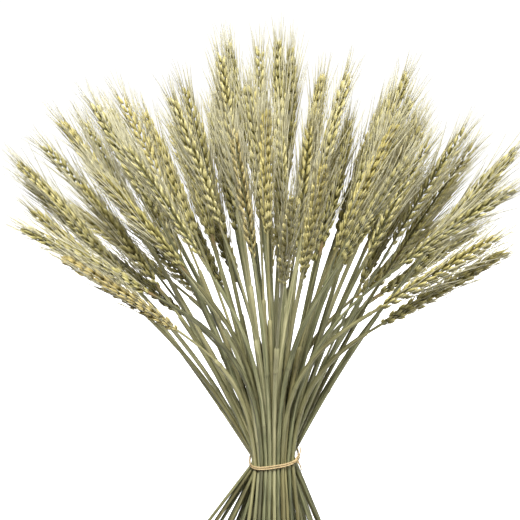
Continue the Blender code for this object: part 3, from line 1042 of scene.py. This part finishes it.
def waistMiddle():
    # The solids' box is centred over the origin, so the waist isn't; its twine says where it is.
    half = bunch["tieReach"]
    tieLow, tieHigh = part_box("tie")
    outer = 2 * twine["radius"]
    return Vector((tieLow.x + half[0] + outer, tieHigh.y - half[1] - outer, 0))


def tiePlace(angle, outward, up):
    half, power = bunch["tieReach"], bunch["tieSquareness"]
    reach = abs(math.cos(angle) / half[0]) ** power + abs(math.sin(angle) / half[1]) ** power
    reach = reach ** (-1 / power) + outward
    x, y = reach * math.cos(angle), reach * math.sin(angle)
    rise = bunch["tieRise"][0] * x + bunch["tieRise"][1] * y
    return Vector((x, y, bunch["tieHeight"] + rise + up))


def makeTie(raffia, shift):
    knot = twine["knotAngle"]
    lines = []
    for strand in (-1, 1):
        ring = []
        for step in range(twine["ringSteps"] + 1):
            angle = knot + math.tau * step / twine["ringSteps"]
            front = max(0, -math.sin(angle)) ** 2
            low, high = twine["spread"]
            spread = low + (high - low) * front
            ring.append((tiePlace(angle, twine["radius"] * twine["seat"], strand * spread), 1.0))
        lines.append(ring)
    size = twine["knotSize"]
    loop = []
    for step in range(twine["knotSteps"] + 1):  # the knot is a trefoil, a little flattened
        turn = math.tau * step / twine["knotSteps"]
        up = (math.sin(turn) + 2 * math.sin(2 * turn)) * size * 0.8
        side = (math.cos(turn) - 2 * math.cos(2 * turn)) * size / twine["knotRound"]
        out = twine["knotOut"] - math.sin(3 * turn) * size * 0.6
        loop.append((tiePlace(knot + side, out, up), twine["knotWidth"]))
    lines.append(loop)
    startOut, startUp = twine["endStart"]
    for rise, drift in twine["ends"]:
        end = []
        for step in range(twine["endSteps"] + 1):
            share = step / twine["endSteps"]
            up = rise * (startUp + twine["endLength"] * share)
            out = startOut + twine["endBow"] * math.sin(share * 2)
            end.append((tiePlace(knot + drift * share, out, up), 1 - twine["endThins"] * share))
        lines.append(end)
    places, edges, thin = [], [], []
    for line in lines:
        for number, (place, width) in enumerate(line):
            if number:
                edges.append((len(places) - 1, len(places)))
            places.append(place + shift)
            thin.append(width)
    mesh = bpy.data.meshes.new("twine_tie")
    mesh.from_pydata(places, edges, [])
    mesh.attributes.new("thin", "FLOAT", "POINT").data.foreach_set("value", thin)
    values = {"Radius": twine["radius"], "Turn Length": twine["plyTwist"], "Raffia": raffia}
    tie = settle(newObject("twine_tie", mesh), twineTree(), values)
    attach(tie, "root")
    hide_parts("tie")
    print("tie: made")


# The camera: the photo's angle, a little above the tie and looking slightly down
view = {
    "imageSize": 520,
    "tiePixel": (274, 457),
    "pixelSize": 0.8 * mm,
    "distance": 1250 * mm,
    "elevation": math.radians(8),
    "sensor": 36.0,
    "clip": (0.05, 60),
}


def placeCamera(shift):
    camera = newObject("camera", bpy.data.cameras.new("camera"))
    camera.data.sensor_width = view["sensor"]
    focal = view["distance"] / view["pixelSize"]
    camera.data.lens = view["sensor"] * focal / view["imageSize"]
    sink = view["elevation"]
    looking = Vector((0, math.cos(sink), -math.sin(sink)))
    upward = Vector((0, math.sin(sink), math.cos(sink)))
    middle = view["imageSize"] / 2
    right = (middle - view["tiePixel"][0]) * view["pixelSize"]
    above = (view["tiePixel"][1] - middle) * view["pixelSize"]
    aim = shift + Vector((right, 0, bunch["tieHeight"])) + upward * above
    camera.location = aim - looking * view["distance"]
    camera.rotation_euler = (math.pi / 2 - sink, 0, 0)
    camera.data.clip_start, camera.data.clip_end = view["clip"]
    bpy.context.scene.camera = camera
    print("camera: placed")


# Plain white paper that glows a little itself, so that no shadow greys it, with a soft key from the
# front, a fill from the right and two weak lamps for the top and the back. Little light comes from
# all round, so that the gaps between the stems stay dark.
studio = {
    "floorSize": 30.0,
    "floorColour": "#F7F7F5",
    "floorRoughness": 0.9,
    "floorGlow": 1.0,
    "backdrop": 1.05,
    "ambient": 0.06,
    "aim": (0, 0, 220 * mm),
    "lamps": (
        {"name": "key", "place": (-0.35, -1.6, 1.8), "power": 84, "size": 0.7},
        {"name": "fill", "place": (1.6, -1.2, 1.0), "power": 32, "size": 1.0},
        {"name": "top", "place": (0.2, 0.5, 1.9), "power": 8, "size": 1.2},
        {"name": "back", "place": (0.6, 1.8, 1.2), "power": 30, "size": 0.8},
    ),
}


def lightStudio():
    world = bpy.data.worlds.new("studio")
    world.use_nodes = True
    tree = world.node_tree
    add = partial(addNode, tree)
    seen = add("ShaderNodeLightPath").outputs["Is Camera Ray"]
    light, paper = (
        add("ShaderNodeBackground", {"Color": (1, 1, 1, 1), "Strength": studio[name]})
        for name in ("ambient", "backdrop")
    )
    mixed = add("ShaderNodeMixShader", {0: seen, 1: light.outputs[0], 2: paper.outputs[0]})
    tree.links.new(mixed.outputs[0], tree.nodes["World Output"].inputs["Surface"])
    bpy.context.scene.world = world
    for settings in studio["lamps"]:
        lamp = bpy.data.lights.new(settings["name"], "AREA")
        lamp.energy, lamp.size = settings["power"], settings["size"]
        holder = newObject(settings["name"], lamp)
        holder.location = settings["place"]
        aim = Vector(studio["aim"]) - holder.location
        holder.rotation_euler = aim.to_track_quat("-Z", "Y").to_euler()
    bpy.ops.mesh.primitive_plane_add(size=studio["floorSize"])
    floor = bpy.context.object
    floor.name = "studio_floor"
    material, _, shader = newMaterial("matt white paper")
    shader.inputs["Base Color"].default_value = toLinear(studio["floorColour"])
    shader.inputs["Roughness"].default_value = studio["floorRoughness"]
    shader.inputs["Emission Color"].default_value = (1, 1, 1, 1)
    shader.inputs["Emission Strength"].default_value = studio["floorGlow"]
    floor.data.materials.append(material)
    floor.visible_diffuse = False  # its glow doesn't light the bunch from below
    bpy.context.scene.view_settings.view_transform = "Standard"
    print("studio: lit")


materials = {"straw": makeStraw(), "husk": makeHusk(), "awn": makeAwn(), "raffia": makeRaffia()}
print(f"materials: {len(materials)} made")
shift = makeStalks(materials)
makeTie(materials["raffia"], shift)
placeCamera(shift)
lightStudio()
